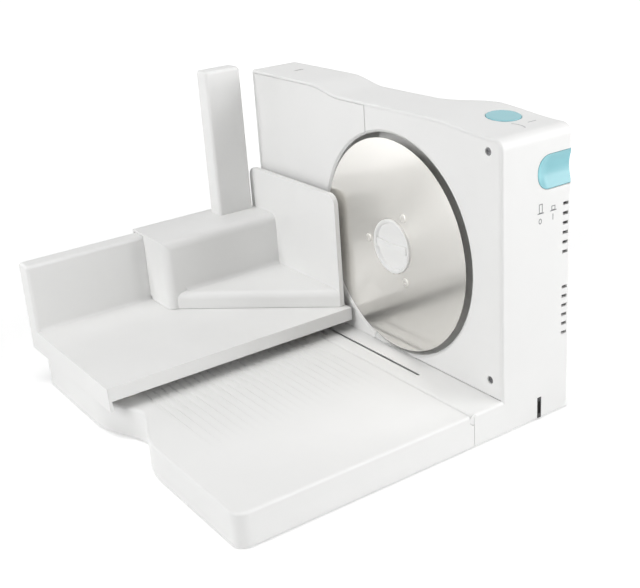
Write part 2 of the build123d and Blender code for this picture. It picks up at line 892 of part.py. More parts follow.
def make_worm():
    lean = math.tan(math.radians(pressure_angle))
    path = Helix(pitch=worm_pitch, height=worm_length, radius=worm_root_radius)
    depth = worm_tip_radius - worm_root_radius
    sunk = worm_root_radius - shaft_radius - 0.2
    tip_half = worm_thread / 2 - (worm_tip_radius - worm_pitch_radius) * lean
    root_half = worm_thread / 2 + (worm_pitch_radius - worm_root_radius) * lean
    start = Plane(path @ 0, x_dir=(1, 0, 0), z_dir=path % 0)
    section = start * make_face(Polyline((-sunk, -root_half), (depth, -tip_half), (depth, tip_half),
                                         (-sunk, root_half), close=True))
    thread = sweep(section, path=path, is_frenet=True)
    lead_in = worm_pitch / 2
    core = Cylinder(worm_root_radius, worm_length + 2 * lead_in)
    worm = Pos(0, 0, worm_length / 2) * core + thread
    worm -= Pos(0, 0, worm_length / 2) * Cylinder(shaft_radius, far)
    return Pos(-worm_length / 2, motor_y, motor_z) * (Rot(0, 90, 0) * worm)


def make_cooling_fan():
    disc = rod_x(fan_radius, (fan_x, fan_x + fan_disc), motor_y, motor_z)
    fan = disc + rod_x(fan_hub_radius, (fan_x, fan_x + fan_depth), motor_y, motor_z)
    vane = block((fan_x, fan_x + fan_depth), (fan_hub_radius - 1, fan_radius - 1),
                 (-fan_blade_thickness / 2, fan_blade_thickness / 2))
    for i in range(fan_blades):
        fan += Pos(0, motor_y, motor_z) * (Rot(360 / fan_blades * i, 0, 0) * vane)
    return fan - rod_x(shaft_radius, (-far, far), motor_y, motor_z)


# Switches
def make_safety_button():
    cap = rod_z(button_radius, button_x, button_y, (button_under, far))
    cap &= front_solid(-button_proud, (-far, far), 0)
    cap = fillet(cap.edges().group_by(Axis.Z)[-1], button_proud)
    stem = rod_z(button_stem_radius, button_x, button_y,
                 (safety_switch_top + button_travel + fit_gap, button_under))
    return cap + stem


def make_start_switch():
    body = scoop_outline(0, (housing_right - scoop_depth, housing_right + 1))
    body &= housing_outer()
    middle = (scoop_low + scoop_high) / 2
    centre_x = housing_right + scoop_hollow_radius - scoop_hollow
    end_y = scoop_front + math.sqrt(scoop_hollow_radius ** 2 - (scoop_hollow_radius - scoop_hollow) ** 2)
    body -= rod_y(scoop_hollow_radius, centre_x, (end_y, far), middle)
    body -= Pos(centre_x, end_y, middle) * Sphere(scoop_hollow_radius)
    stem = rod_x(button_stem_radius,
                 (start_switch_end + plunger_height + button_travel + fit_gap, housing_right - scoop_depth),
                 scoop_stem_y, scoop_stem_z)
    return body + stem


def make_safety_microswitch():
    body = block(around(button_x, microswitch_length),
                 around(button_y, microswitch_width),
                 (shelf_top, shelf_top + microswitch_height))
    return body + block(around(button_x, plunger_length),
                        around(button_y, plunger_width),
                        (shelf_top + microswitch_height, safety_switch_top))


def make_start_microswitch():
    body = block((start_switch_end - microswitch_length, start_switch_end),
                 (start_switch_back - microswitch_width, start_switch_back),
                 around(scoop_stem_z, microswitch_height))
    return body + block((start_switch_end, start_switch_end + plunger_height),
                        around(scoop_stem_y, plunger_width),
                        around(scoop_stem_z, plunger_length))


def coil_spring(length):
    end = spring_wire + spring_play
    usable = length - 2 * end
    path = Helix(pitch=usable / spring_turns, height=usable, radius=spring_radius)
    wire = Plane(path @ 0, z_dir=path % 0) * Circle(spring_wire)
    return Pos(0, 0, end) * sweep(wire, path=path, is_frenet=True)


def make_safety_spring():
    low = shelf_top + microswitch_height
    return Pos(button_x, button_y, low) * coil_spring(button_under - low)


def make_start_spring():
    coil = coil_spring(housing_right - scoop_depth - start_switch_end)
    return Pos(start_switch_end, scoop_stem_y, scoop_stem_z) * (Rot(0, 90, 0) * coil)


# Gauge plate and its adjuster
def make_gauge_plate():
    plate = front_piece(wall + fit_gap, (-far, seam_x - seam_gap / 2))
    for x, z in rods:
        plate += rod_y(rod_radius + rod_wall, x, (cover_thickness, tube_end), z)
    plate += rod_y(nut_radius + nut_boss_wall, dial_x, (cover_thickness, tube_end), dial_z)
    plate -= rod_y(well_radius, 0, (-1, far), blade_height)
    plate -= well_rim()
    for x, z in rods:
        plate -= rod_y(rod_radius + running_gap, x, (cover_thickness, far), z)
    plate -= rod_y(nut_radius, dial_x, (tube_end - nut_length, far), dial_z)
    return plate - rod_y(dial_screw_radius + fit_gap, dial_x, (cover_thickness, far), dial_z)


def make_gauge_nut():
    nut = rod_y(nut_radius, dial_x, (tube_end - nut_length, tube_end), dial_z)
    return nut - rod_y(dial_screw_radius + nut_play, dial_x, (-far, far), dial_z)


def make_guide_rods():
    return Compound([rod_y(rod_radius, x, (rod_front, rod_back), z) for x, z in rods])


def make_thickness_dial():
    front = slim_depth + fit_gap
    skirt = rod_y(dial_radius, dial_x, (front, front + dial_skirt), dial_z)
    grip = block((dial_x - dial_radius, dial_x + dial_radius), (front, front + dial_depth),
                 around(dial_z, dial_grip))
    grip &= rod_y(dial_radius, dial_x, (front, front + dial_depth), dial_z)
    dial = skirt + grip
    return dial - rod_y(dial_screw_radius, dial_x, (0, front + dial_depth / 2), dial_z)


def make_dial_screw():
    return rod_y(dial_screw_radius, dial_x, (rod_front, slim_depth + fit_gap + dial_depth / 2), dial_z)


# Folding base
def tray_outline(inset, z):
    left = -base_left + inset
    right = housing_right - inset
    far_end = base_far + inset
    deep = base_far + notch_depth + inset
    turn = base_corner - inset
    bend = turn * (1 - math.sqrt(0.5))
    middle = (notch_left + notch_right) / 2
    near = barrel_y + barrel_radius * 3
    edges = [
        Line((left, near, 0), (left, far_end + turn, 0)),
        quarter((left, far_end + turn, 0), (left + bend, far_end + bend, 0), (left + turn, far_end, 0)),
        Line((left + turn, far_end, 0), (notch_left, far_end, 0)),
        Spline((notch_left, far_end, 0), (middle, deep, 0), (notch_right, far_end, 0),
               tangents=[(1, 0, 0), (1, 0, 0)]),
        Line((notch_right, far_end, 0), (right - turn, far_end, 0)),
        quarter((right - turn, far_end, 0), (right - bend, far_end + bend, 0), (right, far_end + turn, 0)),
        Line((right, far_end + turn, 0), (right, near, 0)),
        Line((right, near, 0), (left, near, 0)),
    ]
    return Pos(0, 0, z[0]) * extrude(make_face(edges), amount=z[1] - z[0], dir=(0, 0, 1))


def tray_grooves():
    first = base_far + notch_depth + groove_margin
    count = int((barrel_y - groove_margin - first) / groove_pitch)
    run = groove_end + base_left - 2 * wall
    slope = math.degrees(math.atan2(groove_depth, run))
    cutter = Rot(0, -slope, 0) * block((-run, 0), around(0, groove_width), (0, groove_depth * 3))
    spots = [Pos(groove_end, first + i * groove_pitch, ledge_height) for i in range(count + 1)]
    return [spot * cutter for spot in spots]


def make_base_tray():
    tray = tray_outline(0, (base_z, ledge_height))
    tray = fillet([e for e in tray.edges().group_by(Axis.Z)[-1] if e.center().Y < barrel_y], base_edge_radius)
    tray -= tray_outline(wall, (-1, ledge_under)) & block((-far, far), (-far, tray_face - wall), (-1, far))
    tray &= block((-far, far), (-far, tray_face), (-1, far))
    length = (-base_left + wall, housing_right - wall)
    for i in (1, 2, 3):
        x = length[0] + (length[1] - length[0]) * i / 4
        tray += block(around(x, rib_width), (base_far + notch_depth + wall, tray_face - wall),
                      (ledge_under - rib_height, ledge_under))
    y = (base_far + notch_depth + tray_face) / 2
    tray += block(length, around(y, rib_width), (ledge_under - rib_height, ledge_under))
    for x, y in base_foot_spots:
        tray += rod_z(base_foot_radius, x, y, (base_z, ledge_under))
        tray -= rod_z(base_foot_peg, x, y, (0, base_z + 3 * base_foot_peg))
    for span in ledge_knuckles:
        tray -= knuckle_room(open_ended(span))
    for span in base_knuckles:
        tray += knuckle(span)
        tray += block((span[0] + fit_gap, span[1] - fit_gap), (tray_face - barrel_radius, barrel_y),
                      (barrel_z - barrel_radius, barrel_z))
    tray -= pin_bore()
    tray -= tray_grooves()
    return tray


def make_hinge_pin():
    ends = (-housing_left + end_play, housing_right - pin_end_wall - fit_gap)
    return rod_x(pin_radius, ends, barrel_y, barrel_z)


# Carriage
def make_carriage():
    y = (carriage_far, -carriage_near)
    table = block((fence_front - fence_radius, carriage_front), y, (table_under, table_top))
    table += block((fence_front - fence_radius, carriage_front), (carriage_far, carriage_far + wall),
                   (skirt_bottom, table_top))
    fence = block((fence_back, fence_front), y, (skirt_bottom, fence_top))
    body = table + fence
    inner_y = (carriage_far + wall, -carriage_near - wall)
    body -= block((fence_front, carriage_front - wall), inner_y, (0, skin_under))
    body -= block((fence_back + wall, fence_front - wall), inner_y, (0, fence_top - wall))
    top_edges = [e for e in body.edges() if abs(e.center().Z - fence_top) < 0.01]
    ends = [e for e in body.edges().filter_by(Axis.Z) if e.center().Z > table_top - wall
            and abs(e.center().X - fence_front) < 0.01]
    body = fillet(top_edges + ends, fence_radius)
    cove_y = (carriage_far + fence_radius, -carriage_near - fence_radius)
    cove = block((fence_front - wall, fence_front + fence_radius), cove_y,
                 (skin_under, table_top + fence_radius))
    body += cove - rod_y(fence_radius, fence_front + fence_radius, cove_y, table_top + fence_radius)
    for rail_y in (rail_front_y, rail_back_y):
        body += block((fence_front, carriage_front - rail_inset),
                      around(rail_y, rail_width), (rail_bottom, skin_under))
    half = slot_width / 2 + socket_wall
    socket = block((shoe_back - socket_wall, shoe_back + shoe_length + socket_wall),
                   (-slot_y - half, -slot_y + half), (ledge_height + 2 * fit_gap, skin_under))
    neck = block((shoe_back - fit_gap, shoe_back + shoe_length + fit_gap),
                 around(-slot_y, slot_width), (0, shoe_neck_top + fit_gap))
    return body + (socket - neck)


def make_carriage_glides():
    glides = []
    x = (fence_front + wall, carriage_front - rail_inset - wall)
    low = ledge_height + fit_gap
    half = rail_width / 2 + glide_wall
    for rail_y in (rail_front_y, rail_back_y):
        cap = block(x, (rail_y - half, rail_y + half), (low, low + glide_height))
        rail = block((-far, far), around(rail_y, rail_width), (rail_bottom, far))
        glides.append(cap - rail)
    return Compound(glides)


def make_guide_shoe():
    x = (shoe_back, shoe_back + shoe_length)
    neck_half = slot_width / 2 - fit_gap
    head_top = ledge_under - fit_gap
    head = block(x, around(-slot_y, shoe_head_width),
                 (head_top - shoe_head_height, head_top))
    return head + block(x, (-slot_y - neck_half, -slot_y + neck_half), (head_top, shoe_neck_top))


# Pusher
def fence_corner_room():
    reach = fence_radius + fit_gap
    return block((fence_front, fence_front + reach), (-far, far), (0, table_top + reach))


def make_pusher_saddle():
    y = (-saddle_far, plate_far)
    body = block((saddle_back, saddle_front), y, (saddle_bottom, saddle_top))
    front_edges = [e for e in body.edges() if abs(e.center().X - saddle_front) < 0.01
                   and (abs(e.center().Z - saddle_top) < 0.01 or abs(e.center().Y + saddle_far) < 0.01)]
    body = fillet(front_edges, saddle_edge)
    back_edge = [e for e in body.edges().filter_by(Axis.Y) if abs(e.center().X - saddle_back) < 0.01
                 and abs(e.center().Z - saddle_top) < 0.01]
    body = fillet(back_edge, saddle_back_edge)
    body -= block((fence_back - fit_gap, fence_front + fit_gap), (-far, far), (0, fence_top + fit_gap))
    body -= block((saddle_back - 1, fence_front), (-far, far), (0, saddle_flange_bottom))
    body -= block((fence_front + fit_gap + wall, saddle_front - wall), (-saddle_far + wall, plate_far),
                  (0, saddle_top - saddle_roof))
    body += pusher_wedge()
    return body - fence_corner_room()


def pusher_wedge():
    corner_y = -saddle_far + saddle_edge
    floor_top = saddle_bottom + pusher_floor
    width = plate_right - saddle_front
    length = plate_far - corner_y
    slab = level([(saddle_front - wall, plate_far), (saddle_front - wall, corner_y), (saddle_front, corner_y),
                  (plate_right, plate_far)], (saddle_bottom, floor_top))
    sloping = [e for e in slab.edges().group_by(Axis.Z)[-1]
               if e.center().X > saddle_front + wall and e.center().Y < plate_far - wall]
    slab = fillet(sloping, pusher_floor_edge)
    in_radius = (width + length - math.hypot(width, length)) / 2
    shrink = 1 - wall / in_radius
    centre = (saddle_front + in_radius, plate_far - in_radius)
    corners = [(saddle_front, plate_far), (saddle_front, corner_y), (plate_right, plate_far)]
    hollow = [tuple(c + shrink * (p - c) for p, c in zip(point, centre)) for point in corners]
    slab -= level(hollow, (0, floor_top - wall))
    slope = length / width
    start = corner_y + pusher_floor_edge * math.hypot(1, slope)
    cove_end = saddle_front + pusher_fillet
    cove = level([(saddle_front - wall, plate_far), (saddle_front - wall, start), (saddle_front, start),
                  (cove_end, start + slope * pusher_fillet), (cove_end, plate_far)],
                 (floor_top - wall, floor_top + pusher_fillet))
    cove -= rod_y(pusher_fillet, cove_end, (-saddle_far, plate_far), floor_top + pusher_fillet)
    return slab + cove


def make_pusher_plate():
    plate = block((plate_left, plate_right), (plate_far, -plate_near), (saddle_bottom, plate_top))
    corners = [e for e in plate.edges().filter_by(Axis.Y) if abs(e.center().Z - plate_top) < 0.01]
    return fillet(corners, plate_corner) - fence_corner_room()


def make_pusher_post():
    x = (post_left, post_left + post_width)
    y = (-post_near - post_depth, -post_near)
    post = block(x, y, (saddle_top, post_top))
    post = fillet(post.edges().group_by(Axis.Z)[-1] + post.edges().filter_by(Axis.Z), post_radius)
    return post - block((x[0] + wall, x[1] - wall), (y[0] + wall, y[1] - wall), (0, post_top - wall))


def save(name, shape):
    placed = Pos(-middle_x, -middle_y, 0) * shape
    export_step(placed, f"parts/{name}.step")
    print(name, len(placed.solids()), placed.is_valid, round(placed.volume / 1000, 2))


os.makedirs("parts", exist_ok=True)

save("motor_housing", make_motor_housing())
save("face_cover", make_face_cover())
save("cover_screws", make_cover_screws())
save("bottom_cover", make_bottom_cover())
save("bottom_screws", make_bottom_screws())
save("housing_feet", rubber_feet(housing_foot_spots, foot_radius, foot_peg_radius, cover_top))
save("cord_gland", make_cord_gland())
save("terminal_block", make_terminal_block())

save("blade", make_blade())
save("blade_rivets", make_blade_rivets())
save("blade_hub", make_blade_hub())
save("blade_lock_knob", make_blade_lock_knob())
save("drive_spindle", make_drive_spindle())
save("worm_wheel", make_worm_wheel())
save("spindle_front_bush", bush_y(spindle_radius, front_bush_radius, (well_depth, front_boss_back)))
save("spindle_rear_bush", bush_y(spindle_radius, rear_bush_radius, (rear_bush_front, rear_bush_back)))

save("stator_core", make_stator_core())
save("field_coils", make_field_coils())
save("front_bracket", make_front_bracket())
save("rear_bracket", make_rear_bracket())
save("motor_screws", make_motor_screws())
save("brush_holders", make_brush_holders())
pilot_end = partition_right + pilot_boss_length
pilot_start = pilot_end - pilot_bush_length
shaft_bushes = [bush_x((pilot_start, pilot_end)), bush_x((front_bush_x, front_plate_back)),
                bush_x((rear_plate_front, rear_bush_x))]
save("shaft_bushes", Compound(shaft_bushes))
save("rotor_shaft", rod_x(shaft_radius, (pilot_start + fit_gap, fan_x + fan_depth), motor_y, motor_z))
save("armature", shaft_piece(stator_bore - armature_gap, (stator_front + end_play, stator_back - end_play)))
commutator_end = rear_plate_front - end_play
save("commutator", shaft_piece(commutator_radius, (commutator_end - commutator_length, commutator_end)))
save("worm", make_worm())
save("cooling_fan", make_cooling_fan())

save("safety_button", make_safety_button())
save("safety_microswitch", make_safety_microswitch())
save("safety_spring", make_safety_spring())
save("start_switch", make_start_switch())
save("start_microswitch", make_start_microswitch())
save("start_spring", make_start_spring())

save("gauge_plate", make_gauge_plate())
save("gauge_nut", make_gauge_nut())
save("guide_rods", make_guide_rods())
save("thickness_dial", make_thickness_dial())
save("dial_screw", make_dial_screw())

save("base_tray", make_base_tray())
save("base_feet", rubber_feet(base_foot_spots, base_foot_radius, base_foot_peg, base_z + 3 * base_foot_peg))
save("hinge_pin", make_hinge_pin())
save("carriage", make_carriage())
save("carriage_glides", make_carriage_glides())
save("guide_shoe", make_guide_shoe())
save("pusher_saddle", make_pusher_saddle())
save("pusher_plate", make_pusher_plate())
save("pusher_post", make_pusher_post())

print("origin moved by", round(-middle_x, 3), round(-middle_y, 3))
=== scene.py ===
import bmesh
import bpy
import math
from mathutils import Euler, Matrix, Vector


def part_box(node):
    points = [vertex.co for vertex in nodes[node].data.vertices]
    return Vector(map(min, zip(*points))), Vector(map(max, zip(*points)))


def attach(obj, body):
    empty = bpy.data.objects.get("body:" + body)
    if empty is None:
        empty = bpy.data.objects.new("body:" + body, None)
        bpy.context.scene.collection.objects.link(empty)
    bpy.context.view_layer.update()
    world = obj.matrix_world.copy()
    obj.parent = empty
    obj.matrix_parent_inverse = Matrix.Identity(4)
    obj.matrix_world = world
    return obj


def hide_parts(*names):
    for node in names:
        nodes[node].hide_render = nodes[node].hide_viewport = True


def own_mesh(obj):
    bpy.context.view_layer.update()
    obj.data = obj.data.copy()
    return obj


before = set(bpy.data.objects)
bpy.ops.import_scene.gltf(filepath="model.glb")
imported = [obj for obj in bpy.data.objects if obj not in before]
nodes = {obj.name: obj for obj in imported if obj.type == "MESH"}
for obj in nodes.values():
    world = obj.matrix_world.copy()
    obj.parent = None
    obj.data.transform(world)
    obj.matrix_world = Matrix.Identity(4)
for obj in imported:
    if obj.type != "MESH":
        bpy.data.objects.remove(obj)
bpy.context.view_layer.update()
bpy.ops.object.select_all(action="DESELECT")
print("frame loaded:", len(nodes), "nodes")


# Small helpers for materials

def linear(hexCode):
    channels = [int(hexCode[i:i + 2], 16) / 255 for i in (1, 3, 5)]
    return tuple(c / 12.92 if c <= 0.04045 else ((c + 0.055) / 1.055) ** 2.4 for c in channels) + (1.0,)


def perMm(size):
    return 1000 / size  # texture scale for a feature of this many millimetres


def addNode(tree, kind, settings={}, inputs={}):
    node = tree.nodes.new(kind)
    for name, value in settings.items():
        setattr(node, name, value)
    for name, value in inputs.items():
        if isinstance(value, bpy.types.NodeSocket):
            tree.links.new(value, node.inputs[name])
        else:
            node.inputs[name].default_value = value
    return node


def startMaterial(name):
    material = bpy.data.materials.new(name)
    material.use_nodes = True
    material.node_tree.nodes.clear()
    return material, material.node_tree


def closeMaterial(tree, shader):
    addNode(tree, "ShaderNodeOutputMaterial", inputs={"Surface": shader.outputs[0]})


# What all uneven skins share, and the Mix node's colour sockets by number, because their names repeat
skinShape = {"detail": 3.0, "smoothAt": 0.3, "roughAt": 0.7}
darkSocket, lightSocket, mixedSocket = 6, 7, 2


def unevenSkin(tree, place, spot, light, dark, smooth, rough):  # colour, gloss and height that follow one noise
    noise = addNode(tree, "ShaderNodeTexNoise", inputs={"Vector": place, "Scale": perMm(spot),
                                                        "Detail": skinShape["detail"]})
    colour = addNode(tree, "ShaderNodeMix", {"data_type": "RGBA"}, {
        "Factor": noise.outputs["Fac"], darkSocket: linear(dark), lightSocket: linear(light)})
    gloss = addNode(tree, "ShaderNodeMapRange", inputs={
        "Value": noise.outputs["Fac"], "From Min": skinShape["smoothAt"], "From Max": skinShape["roughAt"],
        "To Min": smooth, "To Max": rough})
    return {"colour": colour.outputs[mixedSocket], "gloss": gloss.outputs["Result"],
            "height": noise.outputs["Fac"]}


def seenRays(tree):  # 1 for rays of the camera, of reflections and of what is seen through, 0 for all others
    rays = addNode(tree, "ShaderNodeLightPath").outputs
    direct = addNode(tree, "ShaderNodeMath", {"operation": "MAXIMUM"},
                     {0: rays["Is Camera Ray"], 1: rays["Is Glossy Ray"]})
    every = addNode(tree, "ShaderNodeMath", {"operation": "MAXIMUM"},
                    {0: direct.outputs[0], 1: rays["Is Transmission Ray"]})
    return every.outputs[0]


# Small helpers for shapes

weldReach = 0.000005


def onlyThis(piece):
    bpy.ops.object.select_all(action="DESELECT")
    piece.select_set(True)
    bpy.context.view_layer.objects.active = piece


def settle():  # puts the selected object's place, turn and scale into its mesh
    bpy.ops.object.transform_apply(location=True, rotation=True, scale=True)


def putAt(piece, place, turn):
    piece.location = place
    piece.rotation_euler = turn
    settle()


def pickFaces(wanted):  # edit mode: selects the faces whose middle and normal pass the test
    bpy.ops.mesh.select_mode(type="FACE")
    bpy.ops.mesh.select_all(action="DESELECT")
    mesh = bmesh.from_edit_mesh(bpy.context.object.data)
    for face in mesh.faces:
        face.select_set(wanted(face.calc_center_median(), face.normal))
    mesh.select_flush_mode()
    bmesh.update_edit_mesh(bpy.context.object.data)


def pickEdges(wanted):  # edit mode: selects the edges whose two ends both pass the test
    bpy.ops.mesh.select_mode(type="EDGE")
    bpy.ops.mesh.select_all(action="DESELECT")
    mesh = bmesh.from_edit_mesh(bpy.context.object.data)
    for edge in mesh.edges:
        edge.select_set(all(wanted(corner.co) for corner in edge.verts))
    mesh.select_flush_mode()
    bmesh.update_edit_mesh(bpy.context.object.data)


def pullOut(distance):  # edit mode: extrudes the selected faces along Y
    bpy.ops.mesh.extrude_region_move(TRANSFORM_OT_translate={"value": (0, distance, 0)})


def closeMesh(smoothDegrees):  # leaves edit mode with one clean skin that is smooth up to this angle
    bpy.ops.mesh.select_all(action="SELECT")
    bpy.ops.mesh.remove_doubles(threshold=weldReach)
    bpy.ops.mesh.normals_make_consistent(inside=False)
    bpy.ops.object.mode_set(mode="OBJECT")
    bpy.ops.object.shade_smooth_by_angle(angle=math.radians(smoothDegrees))


def applyModifier(piece, kind, settings):
    modifier = piece.modifiers.new(kind.lower(), kind)
    for name, value in settings.items():
        setattr(modifier, name, value)
    onlyThis(piece)
    bpy.ops.object.modifier_apply(modifier=modifier.name)


def joinPieces(pieces, name):
    onlyThis(pieces[0])
    for piece in pieces:
        piece.select_set(True)
    bpy.ops.object.join()
    pieces[0].name = name
    pieces[0].data.name = name
    return pieces[0]


def near(value, goal, slack=0.00005):
    return abs(value - goal) < slack


# Moulded ABS: satin skin, the tool's fine spark grain, soft sheen that drifts a little, edges never quite sharp
absSkin = {"grain": 0.5, "grainDetail": 2.0, "grainBump": 0.25, "drift": 45, "edge": 0.0005, "edgeSamples": 4,
           "index": 1.53}


def mouldedAbs(name, light, dark, smooth, rough, grainHeight):
    material, tree = startMaterial(name)
    place = addNode(tree, "ShaderNodeTexCoord").outputs["Object"]
    skin = unevenSkin(tree, place, absSkin["drift"], light, dark, smooth, rough)
    grain = addNode(tree, "ShaderNodeTexNoise", inputs={"Vector": place, "Scale": perMm(absSkin["grain"]),
                                                        "Detail": absSkin["grainDetail"]})
    edge = addNode(tree, "ShaderNodeBevel", {"samples": absSkin["edgeSamples"]}, {"Radius": absSkin["edge"]})
    bump = addNode(tree, "ShaderNodeBump", inputs={
        "Strength": absSkin["grainBump"], "Distance": grainHeight, "Height": grain.outputs["Fac"],
        "Normal": edge.outputs["Normal"]})
    shader = addNode(tree, "ShaderNodeBsdfPrincipled", inputs={
        "Base Color": skin["colour"], "Roughness": skin["gloss"], "IOR": absSkin["index"],
        "Normal": bump.outputs["Normal"]})
    closeMaterial(tree, shader)
    return material


whiteAbs = mouldedAbs("white moulded ABS", light="#F2F2F1", dark="#EDEDEC", smooth=0.40, rough=0.48,
                      grainHeight=0.00002)
turquoiseAbs = mouldedAbs("turquoise polished ABS", light="#8ECBD4", dark="#86C5CF", smooth=0.20, rough=0.27,
                          grainHeight=0.00001)

# Stainless sheet: ground in rings on a wheel, so highlights fan out from the middle, then polished, so that
# reflections show through the grind. The rings are drawn coarser than real marks, which are too fine to show.
steelSheet = {"colour": "#E8E6E2", "grind": 1.6, "grindDetail": 2.0, "roughness": 0.30, "spread": 0.01,
              "fan": 0.90, "fanTurn": 0.25, "polish": 0.14, "polishShare": 0.6}


def groundStainless(name, centre):
    material, tree = startMaterial(name)
    place = addNode(tree, "ShaderNodeTexCoord").outputs["Object"]
    onAxis = addNode(tree, "ShaderNodeMapping", inputs={"Vector": place, "Location": [-c for c in centre]})
    flat = addNode(tree, "ShaderNodeVectorMath", {"operation": "MULTIPLY"},
                   {0: onAxis.outputs["Vector"], 1: (1, 0, 1)})
    radius = addNode(tree, "ShaderNodeVectorMath", {"operation": "LENGTH"}, {0: flat.outputs["Vector"]})
    rings = addNode(tree, "ShaderNodeTexNoise", {"noise_dimensions": "1D"},
                    {"W": radius.outputs["Value"], "Scale": perMm(steelSheet["grind"]),
                     "Detail": steelSheet["grindDetail"]})
    gloss = addNode(tree, "ShaderNodeMapRange", inputs={
        "Value": rings.outputs["Fac"], "To Min": steelSheet["roughness"] - steelSheet["spread"],
        "To Max": steelSheet["roughness"] + steelSheet["spread"]})
    around = addNode(tree, "ShaderNodeTangent", {"direction_type": "RADIAL", "axis": "Y"})
    steel = {"Base Color": linear(steelSheet["colour"]), "Metallic": 1.0}
    ground = addNode(tree, "ShaderNodeBsdfPrincipled", inputs={
        **steel, "Roughness": gloss.outputs["Result"], "Anisotropic": steelSheet["fan"],
        "Anisotropic Rotation": steelSheet["fanTurn"], "Tangent": around.outputs["Tangent"]})
    polished = addNode(tree, "ShaderNodeBsdfPrincipled", inputs={**steel, "Roughness": steelSheet["polish"]})
    shader = addNode(tree, "ShaderNodeMixShader", inputs={
        "Fac": steelSheet["polishShare"], 1: ground.outputs[0], 2: polished.outputs[0]})
    closeMaterial(tree, shader)
    return material


bladeLow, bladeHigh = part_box("blade")
bladeSteel = groundStainless("ring ground stainless steel", (bladeLow + bladeHigh) / 2)

# Plain shop metals: turned, ground, plated or lacquered, each with a fine directional or spangled skin
shopSkin = {"bump": 0.1, "height": 0.00002}


def shopMetal(name, light, dark, spot, stretch, smooth, rough):
    material, tree = startMaterial(name)
    place = addNode(tree, "ShaderNodeTexCoord").outputs["Object"]
    along = addNode(tree, "ShaderNodeMapping", inputs={"Vector": place, "Scale": stretch})
    skin = unevenSkin(tree, along.outputs["Vector"], spot, light, dark, smooth, rough)
    bump = addNode(tree, "ShaderNodeBump", inputs={
        "Strength": shopSkin["bump"], "Distance": shopSkin["height"], "Height": skin["height"]})
    shader = addNode(tree, "ShaderNodeBsdfPrincipled", inputs={
        "Base Color": skin["colour"], "Metallic": 1.0, "Roughness": skin["gloss"],
        "Normal": bump.outputs["Normal"]})
    closeMaterial(tree, shader)
    return material


evenly = (1, 1, 1)
rivetSteel = shopMetal("turned stainless steel", light="#E6E4E0", dark="#DAD8D4", spot=0.4, stretch=evenly,
                       smooth=0.34, rough=0.46)
groundSteel = shopMetal("ground bright steel", light="#CFCFD0", dark="#BDBDBF", spot=0.3, stretch=(0.1, 1, 1),
                        smooth=0.18, rough=0.30)
greyScrew = shopMetal("phosphated screw steel", light="#8A8A8C", dark="#747476", spot=0.4, stretch=evenly,
                      smooth=0.40, rough=0.55)
bronzeBush = shopMetal("sintered bronze", light="#C79A5E", dark="#A97C44", spot=0.25, stretch=evenly,
                       smooth=0.40, rough=0.55)
zincSheet = shopMetal("zinc plated sheet", light="#CED0D2", dark="#B4B7BA", spot=1.5, stretch=evenly,
                      smooth=0.25, rough=0.42)
coreSheet = shopMetal("lacquered core sheet", light="#86868A", dark="#6A6A6E", spot=0.5, stretch=(1, 0.05, 0.05),
                      smooth=0.40, rough=0.55)
copperWire = shopMetal("enamelled copper wire", light="#C8703E", dark="#A9552C", spot=0.7, stretch=(0.05, 1, 1),
                       smooth=0.25, rough=0.38)

# Soft and dull plastics: nylon with a waxy bloom, rubber and black plastic with a dry skin
dullSkin = {"bump": 0.3, "height": 0.00003}


def dullPlastic(name, light, dark, spot, smooth, rough, index):
    material, tree = startMaterial(name)
    place = addNode(tree, "ShaderNodeTexCoord").outputs["Object"]
    skin = unevenSkin(tree, place, spot, light, dark, smooth, rough)
    bump = addNode(tree, "ShaderNodeBump", inputs={
        "Strength": dullSkin["bump"], "Distance": dullSkin["height"], "Height": skin["height"]})
    shader = addNode(tree, "ShaderNodeBsdfPrincipled", inputs={
        "Base Color": skin["colour"], "Roughness": skin["gloss"], "IOR": index,
        "Normal": bump.outputs["Normal"]})
    closeMaterial(tree, shader)
    return material


nylon = dullPlastic("natural nylon", light="#E9E7DD", dark="#E0DDD0", spot=1.2, smooth=0.42, rough=0.55,
                    index=1.53)
rubber = dullPlastic("black rubber", light="#3A3A3A", dark="#303030", spot=0.6, smooth=0.65, rough=0.80,
                     index=1.52)
blackPlastic = dullPlastic("black nylon", light="#353535", dark="#2B2B2B", spot=0.5, smooth=0.45, rough=0.58,
                           index=1.53)

# Pad printed ink: thin, matt and a little uneven, so the marks stay soft
greyInk = dullPlastic("grey pad printed ink", light="#8E8E90", dark="#808082", spot=0.4, smooth=0.50, rough=0.62,
                      index=1.50)
paleInk = dullPlastic("pale pad printed ink", light="#BDBDBF", dark="#B2B2B4", spot=0.4, smooth=0.50, rough=0.62,
                      index=1.50)

finishes = {
    whiteAbs: ["motor_housing", "face_cover", "gauge_plate", "blade_lock_knob", "thickness_dial", "base_tray",
               "carriage", "pusher_saddle", "pusher_plate", "pusher_post", "bottom_cover"],
    turquoiseAbs: ["safety_button", "start_switch"],
    bladeSteel: ["blade"],
    rivetSteel: ["blade_rivets"],
    groundSteel: ["hinge_pin", "drive_spindle", "rotor_shaft", "worm", "guide_rods", "start_spring",
                  "safety_spring", "bottom_screws", "motor_screws", "dial_screw"],
    greyScrew: ["cover_screws"],
    bronzeBush: ["spindle_front_bush", "spindle_rear_bush", "shaft_bushes", "gauge_nut"],
    zincSheet: ["front_bracket", "rear_bracket"],
    coreSheet: ["stator_core", "armature"],
    copperWire: ["field_coils", "commutator"],
    nylon: ["worm_wheel", "blade_hub", "guide_shoe", "carriage_glides"],
    rubber: ["housing_feet", "base_feet", "cord_gland"],
    blackPlastic: ["terminal_block", "brush_holders", "start_microswitch", "safety_microswitch", "cooling_fan"],
}
for finish, names in finishes.items():
    for name in names:
        for slot in nodes[name].material_slots:
            slot.material = finish
print("finishes set on", sum(len(names) for names in finishes.values()), "nodes")

